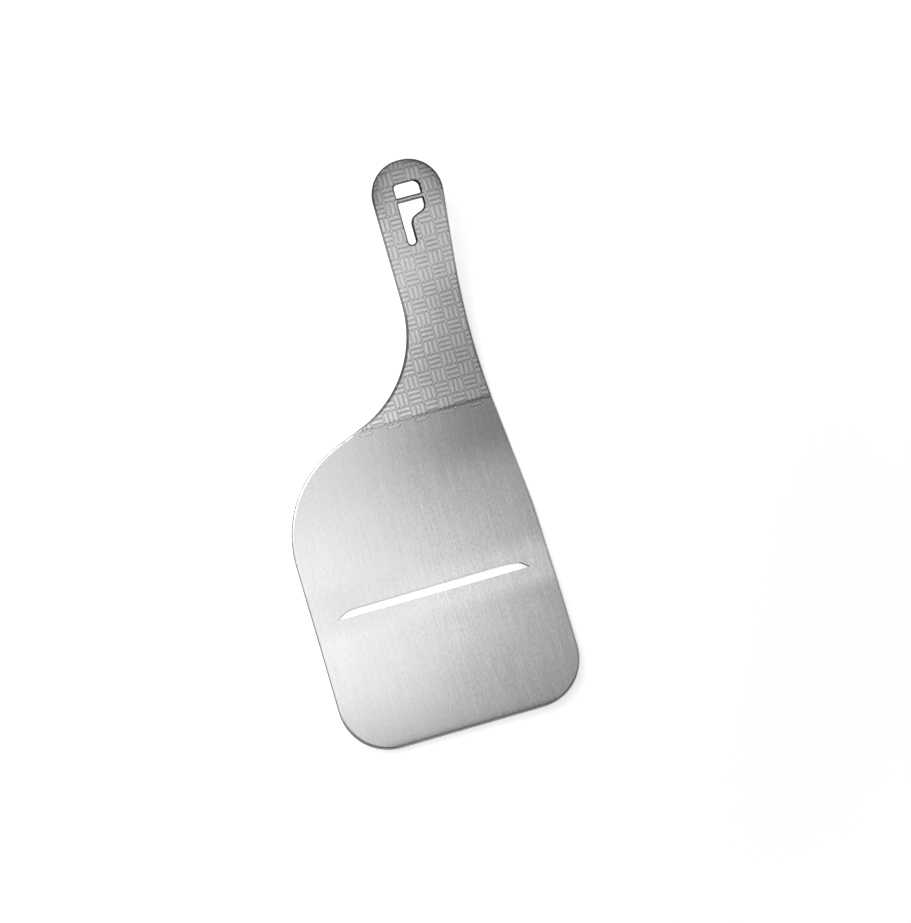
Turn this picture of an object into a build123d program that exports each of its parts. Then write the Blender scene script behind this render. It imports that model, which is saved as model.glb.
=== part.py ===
from build123d import *
import os
from math import atan2, cos, radians, tan

os.makedirs("parts", exist_ok=True)

# A truffle slicer cut from one sheet of stainless steel, in millimetres.
# It lies on its back with the working side up. +Y runs along it towards the end of the
# handle, +X to the right. The origin is under the middle of its length and width.

# The sheet
length = 180.0
sheet = 1.5
overrun = 6.0

# Head: parallel sides, round corners at the far end, a shoulder on the left
head_width = 78.5
corner_radius = 16.0
shoulder_rise = 89.1
shoulder_radius = 36.0
hip_rise = 62.8
hip_radius = 180.0

# Handle: a narrow neck that widens again to a round end
neck_x = 25.4
neck_width = 17.9
neck_left_rise = 110.9
neck_left_radius = 36.0
neck_right_rise = 124.9
neck_right_radius = 235.0
handle_end_x = 28.1
handle_end_width = 24.8
end_round_share = 0.91

# Crank: the handle rises towards the working side
crank_rise = 101.0
crank_angle = 10.0
crank_radius = 6.0

# Slicing slot with its cutting edge, on a ramp that lifts the far part of the head
edge_rise = 44.0
slot_x = 0.3
slot_length = 62.8
slot_width = 2.6
slot_left_taper = 5.6
slot_left_fall = 0.4
slot_right_taper = 10.0
slot_right_fall = 0.75
slot_right_slant = 2.1
ramp_length = 15.0
ramp_height = 1.5
ramp_foot_radius = 50.0
ramp_top_radius = 30.0
edge_land = 0.12
grind_length = 3.8

# Hanging hole: a window, a bridge, and a second window that narrows to a slim slot
hole_margin = 7.4
hole_offset = 0.3
hole_width = 8.1
window_height = 4.3
window_left_radius = 1.4
window_right_radius = 2.15
bridge = 1.6
collar_height = 3.3
collar_slant = 2.25
collar_radius = 2.0
throat_radius = 3.0
slim_width = 2.5
lower_length = 13.6
slim_end_share = 0.96
hole_corner_radius = 0.25

# Edges broken all round, more on the working side, where the punch went in
front_edge_radius = 0.8
hole_edge_radius = 0.7
back_edge_radius = 0.25
slot_edge_radius = 0.25
front_round_share = 0.55
back_round_share = 0.2
bridge_round_share = 0.45
wall_lean = 0.5

# Places along the length, counted from the far end of the head
far_end = -length / 2
handle_end = length / 2
shoulder_y = far_end + shoulder_rise
hip_y = far_end + hip_rise
neck_left_y = far_end + neck_left_rise
neck_right_y = far_end + neck_right_rise
crank_y = far_end + crank_rise
edge_y = far_end + edge_rise
slot_middle_y = edge_y + slot_width / 2
ramp_top_y = slot_middle_y - ramp_length / 2
ramp_foot_y = slot_middle_y + ramp_length / 2

# Side profile of the back of the sheet: far part, ramp, rest face, handle
handle_run = handle_end + overrun - crank_y
handle_lift = handle_run * tan(radians(crank_angle))
tool_height = handle_lift + ramp_height + sheet
back_line = [
    (far_end - overrun, ramp_height),
    (ramp_top_y, ramp_height),
    (ramp_foot_y, 0),
    (crank_y, 0),
    (crank_y + handle_run, handle_lift),
]
back_radii = [ramp_top_radius, ramp_foot_radius + sheet, crank_radius + sheet]

# Hanging hole, a little to the right of the tapering handle's middle line
neck_y = (neck_left_y + neck_right_y) / 2
window_top = handle_end - hole_margin
window_bottom = window_top - window_height
lower_top = window_bottom - bridge
lower_bottom = lower_top - lower_length
collar_y = lower_top - collar_height
hole_middle_y = (window_top + lower_bottom) / 2
handle_lean = (handle_end_x - neck_x) / (handle_end - neck_y)
hole_x = neck_x + (hole_middle_y - neck_y) * handle_lean + hole_offset
hole_left = hole_x - hole_width / 2
hole_right = hole_x + hole_width / 2

# Roundings, none wider than the sheet or the bridge has room for
front_round = min(front_edge_radius, sheet * front_round_share)
back_round = min(back_edge_radius, sheet * back_round_share)
hole_round = min(hole_edge_radius, front_round, bridge * bridge_round_share)

# Slot outline and the wedge that the grinding takes off the back of its lower lip
slot_left_x = slot_x - slot_length / 2
slot_right_x = slot_x + slot_length / 2
lip_y = edge_y + slot_width
lip_left = Vector(slot_left_x + slot_left_taper, lip_y - slot_left_fall)
lip_right = Vector(slot_right_x - slot_right_taper, lip_y)
lip_end = Vector(slot_right_x - slot_right_slant, lip_y - slot_right_fall)
ramp_angle = atan2(ramp_height, ramp_length)
edge_back_z = (ramp_foot_y - edge_y) * tan(ramp_angle)
edge_front_z = edge_back_z + sheet / cos(ramp_angle)
grind_back_z = edge_back_z + grind_length * tan(ramp_angle)


def fitted(corners, radii):
    """Radii of a closed outline's corners, where no rounding takes over half of a side."""
    rounded = []
    for place, radius in enumerate(radii):
        corner = Vector(*corners[place])
        side_before = Vector(*corners[place - 1]) - corner
        side_after = Vector(*corners[(place + 1) % len(corners)]) - corner
        half_turn = radians(180 - side_before.get_angle(side_after)) / 2
        room = min(side_before.length, side_after.length) / 2
        rounded.append(min(radius, room / tan(half_turn)))
    return rounded


def rim_edges(plate, side):
    """Edges between the walls of the sheet and its front (1) or back (-1) skin."""
    skin = plate.faces().filter_by(lambda face: face.normal_at().Z * side > wall_lean)
    walls = plate.faces().filter_by(lambda face: abs(face.normal_at().Z) < wall_lean)
    return skin.edges() & walls.edges()


def hole_edges(plate, side):
    """Edges of the hanging hole's walls on the front (1) or back (-1) skin."""
    edges = rim_edges(plate, side).filter_by_position(Axis.X, hole_left, hole_right)
    return edges.filter_by_position(Axis.Y, lower_bottom, window_top)


with BuildPart() as ground_bevel:
    with BuildSketch(Plane.YZ.offset(slot_left_x)) as bevel_profile:
        with BuildLine() as bevel_line:
            Polyline(
                (edge_y, edge_front_z - edge_land),
                (edge_y - grind_length, grind_back_z),
                (edge_y - grind_length, -overrun),
                (edge_y, -overrun),
                close=True,
            )
        make_face()
    extrude(amount=slot_length)
    with BuildSketch(Plane.XY.offset(-overrun)) as bevel_plan:
        with BuildLine() as bevel_plan_line:
            Polyline(
                (slot_left_x, edge_y),
                (slot_left_x + grind_length, edge_y - grind_length),
                (slot_right_x - grind_length, edge_y - grind_length),
                (slot_right_x, edge_y),
                close=True,
            )
        make_face()
    extrude(amount=overrun + edge_front_z, mode=Mode.INTERSECT)

with BuildPart() as slicer_plate:
    # The bent sheet, wider than the tool
    with BuildSketch(Plane.YZ) as side_profile:
        with BuildLine() as sheet_line:
            FilletPolyline(*back_line, radius=back_radii)
            offset(amount=sheet, side=Side.LEFT)
        make_face()
    extrude(amount=head_width / 2 + overrun, both=True)

    # Its outline, cut through from above
    with BuildSketch(Plane.XY.offset(-overrun)) as outline:
        with BuildLine() as outline_line:
            corners = [
                (-head_width / 2, far_end),
                (head_width / 2, far_end),
                (head_width / 2, hip_y),
                (neck_x + neck_width / 2, neck_right_y),
                (handle_end_x + handle_end_width / 2, handle_end),
                (handle_end_x - handle_end_width / 2, handle_end),
                (neck_x - neck_width / 2, neck_left_y),
                (-head_width / 2, shoulder_y),
            ]
            end_radius = handle_end_width / 2 * end_round_share
            radii = [
                corner_radius,
                corner_radius,
                hip_radius,
                neck_right_radius,
                end_radius,
                end_radius,
                neck_left_radius,
                shoulder_radius,
            ]
            FilletPolyline(*corners, radius=fitted(corners, radii), close=True)
        make_face()
    extrude(amount=tool_height + overrun * 2, mode=Mode.INTERSECT)

    # Its edges broken all round
    fillet(rim_edges(slicer_plate, 1), radius=front_round)
    fillet(rim_edges(slicer_plate, -1), radius=back_round)

    # Hanging hole: the window nearest the end of the handle
    with BuildSketch(Plane.XY.offset(-overrun)) as hanging_hole:
        with BuildLine() as window_line:
            window = [
                (hole_left, window_top),
                (hole_left, window_bottom),
                (hole_right, window_bottom),
                (hole_right, window_top),
            ]
            window_radii = [
                window_left_radius,
                hole_corner_radius,
                hole_corner_radius,
                window_right_radius,
            ]
            FilletPolyline(*window, radius=fitted(window, window_radii), close=True)
        make_face()
        # The second window, below the bridge, narrows on its right to a slim slot
        with BuildLine() as lower_line:
            lower_window = [
                (hole_left, lower_top),
                (hole_left, lower_bottom),
                (hole_left + slim_width, lower_bottom),
                (hole_left + slim_width, collar_y - collar_slant),
                (hole_right, collar_y),
                (hole_right, lower_top),
            ]
            slim_radius = slim_width / 2 * slim_end_share
            lower_radii = [
                hole_corner_radius,
                slim_radius,
                slim_radius,
                throat_radius,
                collar_radius,
                hole_corner_radius,
            ]
            FilletPolyline(*lower_window, radius=fitted(lower_window, lower_radii), close=True)
        make_face()
    extrude(amount=tool_height + overrun * 2, mode=Mode.SUBTRACT)

    # The hole's edges broken, round both windows
    fillet(hole_edges(slicer_plate, 1), radius=hole_round)
    fillet(hole_edges(slicer_plate, -1), radius=back_round)

    # Slicing slot: a straight cutting edge, and a lip that rises a little to the right, curves
    # down to the left tip and drops steeply to the right one
    with BuildSketch(Plane.XY.offset(-overrun)) as slot:
        with BuildLine() as slot_line:
            Polyline((slot_left_x, edge_y), (slot_right_x, edge_y), lip_end)
            TangentArc(lip_right, lip_end, tangent=lip_right - lip_left)
            Line(lip_right, lip_left)
            TangentArc(lip_left, (slot_left_x, edge_y), tangent=lip_left - lip_right)
        make_face()
    extrude(amount=tool_height + overrun * 2, mode=Mode.SUBTRACT)

    # The lip is eased down to both ends, the cutting edge stays sharp
    lip_edges = rim_edges(slicer_plate, 1) + rim_edges(slicer_plate, -1)
    lip_edges = lip_edges.filter_by_position(Axis.Y, edge_y + slot_edge_radius, lip_y)
    lip_edges = lip_edges.filter_by_position(Axis.X, slot_left_x, slot_right_x)
    fillet(lip_edges, radius=slot_edge_radius)

    # The cutting edge is ground from the back
    add(ground_bevel.part, mode=Mode.SUBTRACT)

slicer_plate.part.label = "slicer_plate"
export_step(slicer_plate.part, "parts/slicer_plate.step")
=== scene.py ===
from math import cos, pi, radians, sin

import bpy
from mathutils import Matrix, Vector


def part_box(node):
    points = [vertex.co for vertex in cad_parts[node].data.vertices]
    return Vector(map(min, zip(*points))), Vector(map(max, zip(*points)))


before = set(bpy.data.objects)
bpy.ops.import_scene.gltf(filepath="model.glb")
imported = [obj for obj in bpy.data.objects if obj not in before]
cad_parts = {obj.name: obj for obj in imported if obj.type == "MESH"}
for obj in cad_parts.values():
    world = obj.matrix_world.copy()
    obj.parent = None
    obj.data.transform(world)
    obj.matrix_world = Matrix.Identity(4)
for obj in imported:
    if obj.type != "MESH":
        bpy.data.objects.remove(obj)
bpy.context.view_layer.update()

# The slicer is one sheet of stainless steel. A press cut it out with its slot and hanging
# hole, raised the far part of its head over a ramp and cranked its handle. Its faces were
# then brushed along the tool, its edges broken, and the front of its handle etched.
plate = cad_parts["slicer_plate"]
plate_low, plate_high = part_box("slicer_plate")

# Places and sizes in millimetres, X across the tool and Y along it. A reach goes from the
# middle of the slot or of the hole to just past its rims.
mm = 0.001
far_end = plate_low.y / mm
handle_end = plate_high.y / mm
handle_x = 28.1
crank_y = far_end + 101.0
crank_angle = radians(10.0)
slot_y = far_end + 45.0
slot_reach_x = 32.3
slot_reach_y = 3.0
slot_tip_x = 31.0
hole_x = 27.6
hole_y = handle_end - 17.3
hole_reach_x = 5.8
hole_reach_y = 11.8


class Shade:
    """One output in the nodes of a material or of the room. Sums of it add Math nodes."""

    def __init__(self, tree, socket=None):
        self.tree = tree
        self.socket = socket

    def node(self, kind, settings=None, values=None, out=0):
        """Adds a node, sets it up, fills its sockets with values or links, gives an output."""
        made = self.tree.nodes.new(kind)
        for name, value in (settings or {}).items():
            setattr(made, name, value)
        for name, value in (values or {}).items():
            if isinstance(value, Shade):
                self.tree.links.new(value.socket, made.inputs[name])
            else:
                made.inputs[name].default_value = value
        return Shade(self.tree, made.outputs[out] if made.outputs else None)

    def maths(self, operation, *others):
        values = dict(enumerate((self, *others)))
        return self.node("ShaderNodeMath", {"operation": operation}, values)

    def __add__(self, other):
        return self.maths("ADD", other)

    def __sub__(self, other):
        return self.maths("SUBTRACT", other)

    def __rsub__(self, other):
        return self.node("ShaderNodeMath", {"operation": "SUBTRACT"}, {0: other, 1: self})

    def __mul__(self, other):
        return self.maths("MULTIPLY", other)

    def __truediv__(self, other):
        return self.maths("DIVIDE", other)

    __radd__ = __add__
    __rmul__ = __mul__

    def axis(self, number):
        """One part of a vector: 0 for X, 1 for Y and 2 for Z."""
        return self.node("ShaderNodeSeparateXYZ", {}, {"Vector": self}, out=number)

    def between(self, low, high):
        """0 below low, 1 above high, with a soft step from one to the other."""
        return self.node(
            "ShaderNodeMapRange",
            {"interpolation_type": "SMOOTHSTEP"},
            {"Value": self, "From Min": low, "From Max": high},
        )

    def below(self, low, high):
        """1 below low, 0 above high, with a soft step from one to the other."""
        return 1 - self.between(low, high)

    def near(self, middle, reach, blur):
        """1 within reach of a middle and 0 outside it, with blur on each side of the step."""
        return (self - middle).maths("ABSOLUTE").below(reach - blur, reach + blur)

    def fall(self, rate):
        """1 at a distance of 0, and dying away at a rate from there."""
        return (self * -rate).maths("EXPONENT")

    def either(self, other):
        """The larger of two masks."""
        return self.maths("MAXIMUM", other)

    def blend(self, low_colour, high_colour):
        """A colour that goes from low_colour to high_colour as this goes from 0 to 1."""
        values = {"Factor": self, 6: low_colour, 7: high_colour}
        return self.node("ShaderNodeMix", {"data_type": "RGBA"}, values, out=2)


steel = bpy.data.materials.new("brushed_sheet")
steel.use_nodes = True
steel.node_tree.nodes.clear()
metal = Shade(steel.node_tree)
place = metal.node("ShaderNodeTexCoord", out=3)
x = place.axis(0) / mm
y = place.axis(1) / mm
from_far_end = (y - far_end).maths("MAXIMUM", 0.0)
from_slot = y - slot_y
from_crank = y - crank_y
on_handle = from_crank.between(-0.5, 0.5)

# How the surface faces. How level it lies tells the sheet's skin from its rounded rim and its
# cut wall. On the handle this is measured from the cranked sheet, not from the table.
facing = metal.node("ShaderNodeTexCoord", out=1)
facing_x = facing.axis(0)
facing_y = facing.axis(1)
facing_z = facing.axis(2)
handle_facing_y = facing_y * cos(crank_angle) + facing_z * sin(crank_angle)
handle_facing_z = facing_z * cos(crank_angle) - facing_y * sin(crank_angle)
facing_along = facing_y + (handle_facing_y - facing_y) * on_handle
facing_up = facing_z + (handle_facing_z - facing_z) * on_handle
level = facing_up.maths("ABSOLUTE")
front = facing_up.between(0.80, 0.93)
skin = level.between(0.955, 0.985)
rim = level.below(0.965, 0.992)
outer_rim = level.below(0.62, 0.88)
wall = level.below(0.45, 0.72)

# Which side of the tool a rim or a wall faces, seen from above
slant = (facing_x * facing_x + facing_along * facing_along).maths("SQRT").maths("MAXIMUM", 0.02)
side_start = 0.2
side_full = 0.7
right_side = (facing_x / slant).between(side_start, side_full)
left_side = (0 - facing_x / slant).between(side_start, side_full)
handle_side = (facing_along / slant).between(side_start, side_full)
far_side = (0 - facing_along / slant).between(side_start, side_full)
upper_left = left_side.either(handle_side)


def grain(across, along, detail, lift):
    """Noise about 0 on the tool, with so many waves to the millimetre across and along it."""
    spot = metal.node("ShaderNodeCombineXYZ", {}, {"X": x * across, "Y": y * along, "Z": lift})
    values = {"Vector": spot, "Scale": 1.0, "Detail": detail, "Roughness": 0.55}
    return metal.node("ShaderNodeTexNoise", {}, values) - 0.5


# Brush lines: scratches and finer hairlines along the tool, in soft bands and broken into
# short flecks. They get coarser towards the right of the head, with a few deep strays.
scratches = grain(2.0, 0.06, 3.0, 0.0)
hairlines = grain(3.8, 0.14, 1.0, 7.3)
flecks = grain(1.9, 0.85, 2.0, 11.9)
bands = grain(0.28, 0.012, 2.0, 3.1)
cloud = grain(0.05, 0.04, 2.0, 9.7)
strays = grain(2.4, 0.09, 1.0, 17.7).between(0.12, 0.24)
brushing = scratches * 0.40 + hairlines * 0.25 + flecks * 0.65 + bands * 0.15
coarse = 1 + x.between(-15.0, 10.0)

# Etched field on the front of the handle: a basket weave of outlined bars, three by three.
# It starts just below the crank, and one more bar hangs under every other tile there.
tile = 4.6
bar_count = 3
bar_width = tile / bar_count
bar_gap = 0.16
bar_round = 0.42
line_half_width = 0.30
weave_x = 0.9
weave_drop = 1.2
from_field = (from_crank + weave_drop) / cos(crank_angle)
tile_x = (x - weave_x) / tile
tile_y = from_field / tile
column = tile_x.maths("FLOOR")
row = tile_y.maths("FLOOR")
turned = ((column + row) * 0.5).maths("FRACT").maths("GREATER_THAN", 0.25)
across_tile = tile_x.maths("FRACT") - 0.5
along_tile = tile_y.maths("FRACT") - 0.5
across_bars = across_tile + (along_tile - across_tile) * turned
along_bars = along_tile + (across_tile - along_tile) * turned
from_middle = ((across_bars * bar_count + 0.5).maths("FRACT") - 0.5).maths("ABSOLUTE") * bar_width
from_centre = along_bars.maths("ABSOLUTE") * tile
past_corner_x = from_middle - (bar_width / 2 - bar_gap - bar_round)
past_corner_y = from_centre - (tile / 2 - bar_gap - bar_round)
round_x = past_corner_x.maths("MAXIMUM", 0.0)
round_y = past_corner_y.maths("MAXIMUM", 0.0)
round_part = (round_x * round_x + round_y * round_y).maths("SQRT")
flat_part = past_corner_x.maths("MAXIMUM", past_corner_y).maths("MINIMUM", 0.0)
from_outline = (round_part + flat_part - bar_round).maths("ABSOLUTE")
bar_end = past_corner_y.maths("GREATER_THAN", past_corner_x)
crosswise = (bar_end - turned).maths("ABSOLUTE")
one_bar_lower = 1 - (column * 0.5).maths("FRACT").maths("GREATER_THAN", 0.25)
field = front * (from_field + one_bar_lower * bar_width).between(-0.05, 0.05)
etched = from_outline.below(0.0, line_half_width) * field
matt = front * on_handle
speckle = grain(3.0, 2.2, 2.0, 5.0)

# Tone of the steel, 1 being its plain colour: the etching left the handle's front paler and its
# lines dark. Lines across the tool get extra painted shade, for the shade their relief catches.
tone = 1.0 + brushing * coarse * 0.40 + cloud * 0.05 + strays * (coarse - 0.6) * 0.09
tone = tone + speckle * matt * 0.35
tone = tone * (1 + matt * 0.51) * (1 - etched * (0.37 + crosswise * 0.15))

# Patches of painted shade: by the crank, at the left of the ramp, at the far end and at the foot of
# the handle, with a painted shadow in the crease. A painted sheen along the left of the handle is
# brighter.
crank_right = x.between(4.0, 34.0) * from_crank.between(-26.0, -10.0) * from_crank.below(32.0, 46.0)
crank_foot = x.between(-12.0, 24.0) * from_crank.between(-26.0, -12.0) * (1 - on_handle)
ramp_left = x.below(-30.0, 8.0) * from_slot.between(-10.0, -3.0) * from_slot.below(4.0, 12.0)
patch_x = (x - 10.0) / 18.0
patch_y = (y - (far_end + 15.0)) / 13.0
far_patch = (patch_x * patch_x + patch_y * patch_y).fall(1.0)
handle_foot = on_handle * from_crank.below(12.0, 28.0)
crease = x.between(4.0, 22.0) * from_crank.near(-0.4, 0.55, 0.45)
handle_sheen = x.below(20.0, 32.0) * from_crank.between(22.0, 32.0) * from_crank.below(46.0, 54.0)
tone = tone * (1 - crank_right * 0.22 - crank_foot * 0.12) * (1 + handle_sheen * 0.11)
for patch, shade_depth in ((ramp_left, 0.11), (far_patch, 0.13), (handle_foot, 0.19), (crease, 0.25)):
    tone = tone * (1 - patch * shade_depth)

# Towards the end of the handle, where the sheet is rounded off, painted shade darkens the steel,
# for the dark that the rounded end reflects
end_radius = 12.0
beyond_x = x - handle_x
beyond_y = (y - (handle_end - end_radius)).maths("MAXIMUM", 0.0)
from_end = end_radius - (beyond_x * beyond_x + beyond_y * beyond_y).maths("SQRT")
from_end = from_end.maths("MAXIMUM", 0.0)
near_end = y.between(handle_end - 22.0, handle_end - 7.0)
painted_end_shade = from_end.fall(0.15) * 0.56 + from_end.fall(0.9) * 0.22
tone = tone * (1 - painted_end_shade * near_end)

# Painted shade on the rounded rims, for the dark they reflect, set by which way each faces: most of
# all on the left of the neck, less along the left and right of the head, and the rims in the slot
# get painted light. Painted shade darkens the cut walls away from the lit side, and the hole and
# the slot's right tip inside.
in_hole = x.near(hole_x, hole_reach_x, 0.2) * y.near(hole_y, hole_reach_y, 0.2)
in_slot = x.near(0.0, slot_reach_x, 0.1) * from_slot.near(0.0, slot_reach_y, 0.1)
slot_tip = x.near(slot_tip_x, 1.9, 0.5) * from_slot.near(0.0, slot_reach_y, 0.1)
left_part = x.below(-11.0, -5.0)
on_neck = (1 - left_part) * from_crank.between(-4.0, -0.5) * from_crank.below(20.0, 40.0)
less_shaded = (upper_left * left_part).either(in_slot)
neck_side = upper_left * on_neck
straight_right = right_side * (1 - handle_side) * (1 - far_side)
hole_shade = 0.18 + upper_left * 0.26
head_rim_shade = 0.34 - less_shaded * 0.28 - straight_right * 0.30
head_rim_shade = head_rim_shade + right_side * far_side * 0.16 + neck_side * 0.43
handle_rim_shade = 0.32 + left_side * 0.28 + handle_side * 0.06 + neck_side * 0.24
handle_rim_shade = (handle_rim_shade + hole_shade * in_hole).maths("MINIMUM", 0.96)
rim_shade = head_rim_shade + (handle_rim_shade - head_rim_shade) * on_handle
tone = tone * (1 - rim * rim_shade) * (1 + rim * in_slot * (1 - slot_tip) * 0.35)
tone = tone * (1 - rim * slot_tip * 0.65) * (1 - wall * slot_tip * 0.6)
tone = tone * (1 - wall * (1 - less_shaded) * 0.30) * (1 - wall * hole_shade * in_hole * 1.8)

# Painted shade draws a thin dark line along the outside of the shoulder and down the left side of
# the head
low_left = left_side * (1 - in_slot) * from_far_end.below(8.0, 48.0)
edge_shade = upper_left * left_part * (1 - in_slot) * 0.62 + low_left * 0.14
tone = tone * (1 - outer_rim * edge_shade) * (1 - rim * low_left * 0.06)

# The tone is halved for the mix, which stops at 1, and the colour doubled to make up for it
bright_steel = (1.330, 1.328, 1.312, 1.0)
black = (0.0, 0.0, 0.0, 1.0)
base = (tone * 0.5).blend(black, bright_steel)

# Relief in millimetres: the depth of brush lines, etched lines and speckle, and the way that
# the brush rounds the sheet off at both ends of its strokes
brush_depth = 0.014
etch_depth = 0.050
speckle_depth = 0.006
relief = brushing * coarse * (1 - matt * 0.7) * brush_depth - etched * etch_depth
relief = (relief + speckle * matt * speckle_depth) * skin
droop = from_end.fall(0.9) * near_end * 0.18 + from_far_end.fall(1.3) * 0.17
relief = relief - droop * front
bump = metal.node("ShaderNodeBump", {}, {"Strength": 1.0, "Distance": mm, "Height": relief})
tangent = metal.node("ShaderNodeTangent", {"direction_type": "RADIAL", "axis": "X"})

# Brushed skin stretches its highlights across the brush lines. The etched front, the rims
# and the cut walls have an even sheen.
brushed = metal.node(
    "ShaderNodeBsdfPrincipled",
    {},
    {
        "Base Color": base,
        "Metallic": 1.0,
        "Roughness": 0.464,
        "Anisotropic": 0.652,
        "Anisotropic Rotation": 0.25,
        "Tangent": tangent,
        "Normal": bump,
    },
)
even_roughness = 0.33 + matt * skin * 0.25 + wall * 0.2
even = metal.node(
    "ShaderNodeBsdfPrincipled",
    {},
    {"Base Color": base, "Metallic": 1.0, "Roughness": even_roughness, "Normal": bump},
)
not_brushed = matt.either(1 - skin)
finish = metal.node("ShaderNodeMixShader", {}, {0: not_brushed, 1: brushed, 2: even})
metal.node("ShaderNodeOutputMaterial", {}, {"Surface": finish})
plate.data.materials.clear()
plate.data.materials.append(steel)

# The floor is a wide table of pale paper under the slicer. It takes the slicer's shadow, and
# the camera and the metal see it near white, its glow a little brighter away from the tool, which
# leaves painted shade round the slicer.
floor_half = 3.0
near_glow = 0.58
far_glow = 0.20
bpy.ops.mesh.primitive_plane_add(size=2 * floor_half, location=(0, 0, plate_low.z))
floor = bpy.context.object
floor.name = "floor"
paper = bpy.data.materials.new("pale_paper")
paper.use_nodes = True
paper.node_tree.nodes.clear()
table = Shade(paper.node_tree)
camera_ray = table.node("ShaderNodeLightPath", out=0)
glossy_ray = table.node("ShaderNodeLightPath", out=3)
through_ray = table.node("ShaderNodeLightPath", out=6)
seen = (camera_ray + glossy_ray + through_ray).maths("MINIMUM", 1.0)
matt_white = table.node("ShaderNodeBsdfDiffuse", {}, {"Color": (0.80, 0.80, 0.80, 1.0)})
floor_spot = table.node("ShaderNodeTexCoord", out=3)
from_tool = table.node("ShaderNodeVectorMath", {"operation": "LENGTH"}, {0: floor_spot}, out=1)
glow = near_glow + from_tool.between(0.11, 0.30) * far_glow
bright = table.node("ShaderNodeEmission", {}, {"Color": glow, "Strength": 1.0})
glowing_white = table.node("ShaderNodeAddShader", {}, {0: matt_white, 1: bright})
table_top = table.node("ShaderNodeMixShader", {}, {0: seen, 1: matt_white, 2: glowing_white})
table.node("ShaderNodeOutputMaterial", {}, {"Surface": table_top})
floor.data.materials.append(paper)

# The room round the table is pale low down and nearly dark overhead. What light there is
# overhead comes from the left and from beyond the head.
low_room = 0.55
overhead = 0.053
room = bpy.data.worlds.new("room")
bpy.context.scene.world = room
room.use_nodes = True
room.node_tree.nodes.clear()
air = Shade(room.node_tree)
direction = air.node("ShaderNodeTexCoord", out=0)
high_room = (1.0 - direction.axis(0) - direction.axis(1)).maths("MAXIMUM", 0.0) * overhead
grey = (high_room - low_room) * direction.axis(2).between(0.35, 0.85) + low_room
room_light = air.node("ShaderNodeBackground", {}, {"Color": grey, "Strength": 1.0})
air.node("ShaderNodeOutputWorld", {}, {"Surface": room_light})

# Four soft boxes light the slicer: a long strip and a wide one low on the left, one beyond
# the handle on the left, and a small one high up beyond the handle on the right. Each has a
# centre, two sides, a lean about the tool's length in degrees and a brightness.
soft_boxes = {
    "strip_box": ((-268.0, -43.0, 155.5), (599.0, 69.5), 11.75, 1.69),
    "wide_box": ((-330.0, 158.0, 207.5), (732.0, 348.0), 25.8, 0.755),
    "handle_box": ((-238.0, 345.5, 384.0), (413.5, 243.5), -17.1, 6.0),
    "high_box": ((263.0, 451.0, 1096.0), (210.0, 202.0), 37.9, 6.55),
}
for box_name, (centre, sides, lean, brightness) in soft_boxes.items():
    lamp = bpy.data.lights.new(box_name, "AREA")
    lamp.shape = "RECTANGLE"
    lamp.size = sides[0] * mm
    lamp.size_y = sides[1] * mm
    lamp.energy = brightness * pi * lamp.size * lamp.size_y
    soft_box = bpy.data.objects.new(box_name, lamp)
    soft_box.location = Vector(centre) * mm
    soft_box.rotation_euler = (0.0, radians(lean), 0.0)
    soft_box.visible_camera = False
    bpy.context.scene.collection.objects.link(soft_box)

# The camera looks down at the photograph's angle, from a metre away. It is swung to the left,
# leaned back towards the far end and rolled, so that the tool leans to the left.
frame_height = 923.0
focal_pixels = 3152.6
camera_distance = 1004.46
aim = Vector((18.88, -7.01, 1.5))
swing = radians(7.5)
lean_back = radians(9.5)
roll = radians(16.76)
toward = Vector((-sin(swing) * cos(lean_back), -sin(lean_back), cos(swing) * cos(lean_back)))
level_up = (Vector((0.0, 1.0, 0.0)) - toward * toward.y).normalized()
level_right = level_up.cross(toward)
right = level_right * cos(roll) - level_up * sin(roll)
upright = level_right * sin(roll) + level_up * cos(roll)
camera = bpy.data.objects.new("camera", bpy.data.cameras.new("camera"))
turn = Matrix((right, upright, toward)).transposed().to_4x4()
camera.matrix_world = Matrix.Translation((aim + toward * camera_distance) * mm) @ turn
camera.data.sensor_fit = "VERTICAL"
camera.data.sensor_height = 24.0
camera.data.lens = focal_pixels / frame_height * camera.data.sensor_height
camera.data.clip_start = 0.01
bpy.context.scene.collection.objects.link(camera)
bpy.context.scene.camera = camera

bpy.context.scene.view_settings.view_transform = "Standard"
